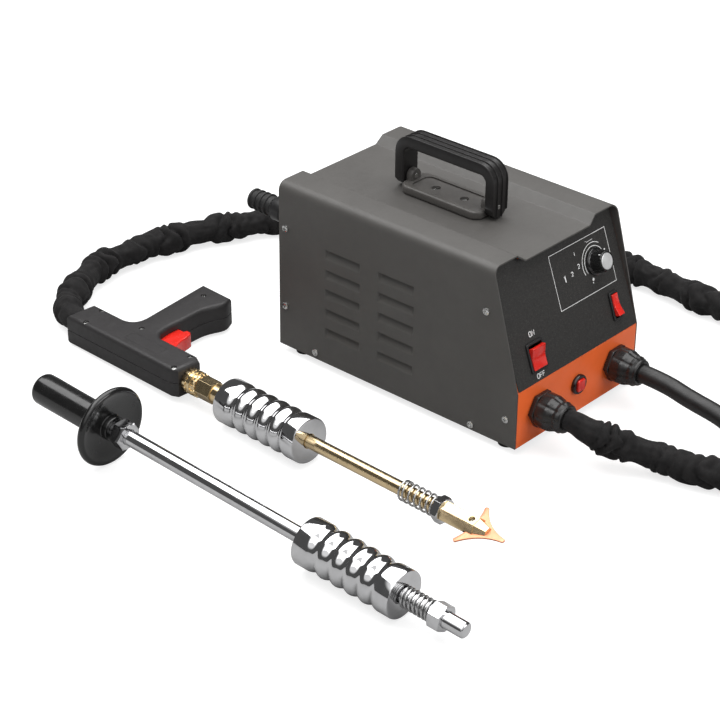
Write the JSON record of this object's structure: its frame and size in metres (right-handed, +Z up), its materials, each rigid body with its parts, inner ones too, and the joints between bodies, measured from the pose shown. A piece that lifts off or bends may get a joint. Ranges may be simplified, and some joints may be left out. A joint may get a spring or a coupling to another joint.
{
  "type": "spot welder",
  "caption": "Body repair spot welder: low sheet-metal power unit with a sloped control fascia and folding handle, a cabled welding gun with a sliding weight and star tip, and a slide hammer.",
  "frame": {"origin": "middle of the footprint of the power unit, gun and hammer, on the floor; free cords are not counted", "axes": "+Z up, +Y from the control fascia to the back of the power unit, +X to the right as the fascia is read"},
  "size_m": [0.7611, 0.9975, 0.2515],
  "materials": {
    "cover_paint": "semi-matt charcoal powder coat",
    "orange_paint": "satin orange-red powder coat",
    "fascia_print": "finely textured black print on thin sheet",
    "black_plastic": "moulded, satin",
    "gun_plastic": "moulded, fine spark texture",
    "gloss_black": "moulded, glossy",
    "red_plastic": "moulded, glossy red",
    "rubber": "moulded black rubber",
    "chrome": "bright chrome plate",
    "steel": "bright zinc-plated steel",
    "brass": "turned, bright",
    "copper": "bare copper sheet",
    "laminations": "varnished steel laminations",
    "winding": "enamelled copper",
    "board": "green circuit board",
    "sleeve": "black woven cable sleeve",
    "earth_jacket": "black welding cable jacket"
  },
  "bodies": {
    "power_unit": {"cover": "cover_paint", "floor_pan": "cover_paint", "rear_panel": "cover_paint", "front_panel": "orange_paint", "fascia": "fascia_print", "handle_base": "black_plastic", "potentiometer": "steel", "main_switch_housing": "black_plastic", "mode_switch_housing": "black_plastic", "button_bezel": "gloss_black", "torch_gland": "black_plastic", "torch_gland_nut": "black_plastic", "earth_gland": "black_plastic", "earth_gland_nut": "black_plastic", "mains_gland": "black_plastic", "strain_relief": "rubber", "foot_front_left": "rubber", "foot_front_right": "rubber", "foot_rear_left": "rubber", "foot_rear_right": "rubber", "transformer_core": "laminations", "primary_coil": "winding", "secondary_coil": "copper", "control_board": "board", "thyristor_heat_sink": "steel", "torch_cable": "sleeve", "earth_cable": "earth_jacket", "earth_cable_coil": "earth_jacket", "earth_lug": "copper"},
    "main_rocker": {"main_switch_rocker": "red_plastic"},
    "mode_rocker": {"mode_switch_rocker": "red_plastic"},
    "selector_knob": {"knob": "gloss_black", "knob_cap": "chrome"},
    "push_button": {"button_cap": "red_plastic"},
    "carrying_handle": {"handle_grip": "black_plastic", "handle_pin_front": "steel", "handle_pin_rear": "steel"},
    "gun": {"gun_shell_lower": "gun_plastic", "gun_shell_upper": "gun_plastic", "trigger_switch": "black_plastic", "trigger_spring": "steel", "electrode_chuck": "brass", "gun_rod": "brass", "gun_spring": "steel", "gun_stop_nut": "chrome", "tip_holder": "brass", "clamp_screw": "steel", "star_tip": "copper"},
    "gun_trigger": {"trigger": "red_plastic"},
    "gun_sliding_weight": {"gun_weight": "chrome"},
    "slide_hammer": {"hammer_grip": "gloss_black", "hammer_lock_nut": "chrome", "hammer_rod": "chrome", "hammer_spring": "steel", "hammer_end_nut": "chrome"},
    "hammer_sliding_weight": {"hammer_weight": "chrome"}
  },
  "joints": [
    {"name": "main_switch_rock", "type": "hinge", "parent": "power_unit", "child": "main_rocker", "pos_m": [0.0994, -0.15441, 0.09571], "axis": [-1, 0, 0], "range_deg": [0, 20]},
    {"name": "mode_switch_rock", "type": "hinge", "parent": "power_unit", "child": "mode_rocker", "pos_m": [0.2314, -0.15305, 0.09937], "axis": [1, 0, 0], "range_deg": [0, 20]},
    {"name": "knob_turn", "type": "hinge", "parent": "power_unit", "child": "selector_knob", "pos_m": [0.2174, -0.1372, 0.15001], "axis": [0, -0.9379, 0.3469], "range_deg": [-140, 140]},
    {"name": "button_press", "type": "slide", "parent": "power_unit", "child": "push_button", "axis": [0, 1, 0], "range_m": [0, 0.003], "stiffness_N_per_m": 500, "springref_m": -0.002},
    {"name": "handle_fold", "type": "hinge", "parent": "power_unit", "child": "carrying_handle", "pos_m": [0.1605, 0.009, 0.2045], "axis": [0, 1, 0], "range_deg": [-90, 90]},
    {"name": "gun_lift", "type": "slide", "parent": "power_unit", "child": "gun", "axis": [0, 0, 1], "range_m": [0, 0.15]},
    {"name": "trigger_pull", "type": "slide", "parent": "gun", "child": "gun_trigger", "axis": [0.0596, 0.9978, -0.0283], "range_m": [0, 0.005], "stiffness_N_per_m": 800, "springref_m": -0.004, "deforming": ["trigger_spring"]},
    {"name": "gun_weight_slide", "type": "slide", "parent": "gun", "child": "gun_sliding_weight", "axis": [-0.0596, -0.9978, 0.0283], "range_m": [0, 0.1296]},
    {"name": "hammer_lift", "type": "slide", "parent": "power_unit", "child": "slide_hammer", "axis": [0, 0, 1], "range_m": [0, 0.15]},
    {"name": "hammer_weight_slide", "type": "slide", "parent": "slide_hammer", "child": "hammer_sliding_weight", "axis": [0, 0.9989, 0.0461], "range_m": [0, 0.239]}
  ]
}
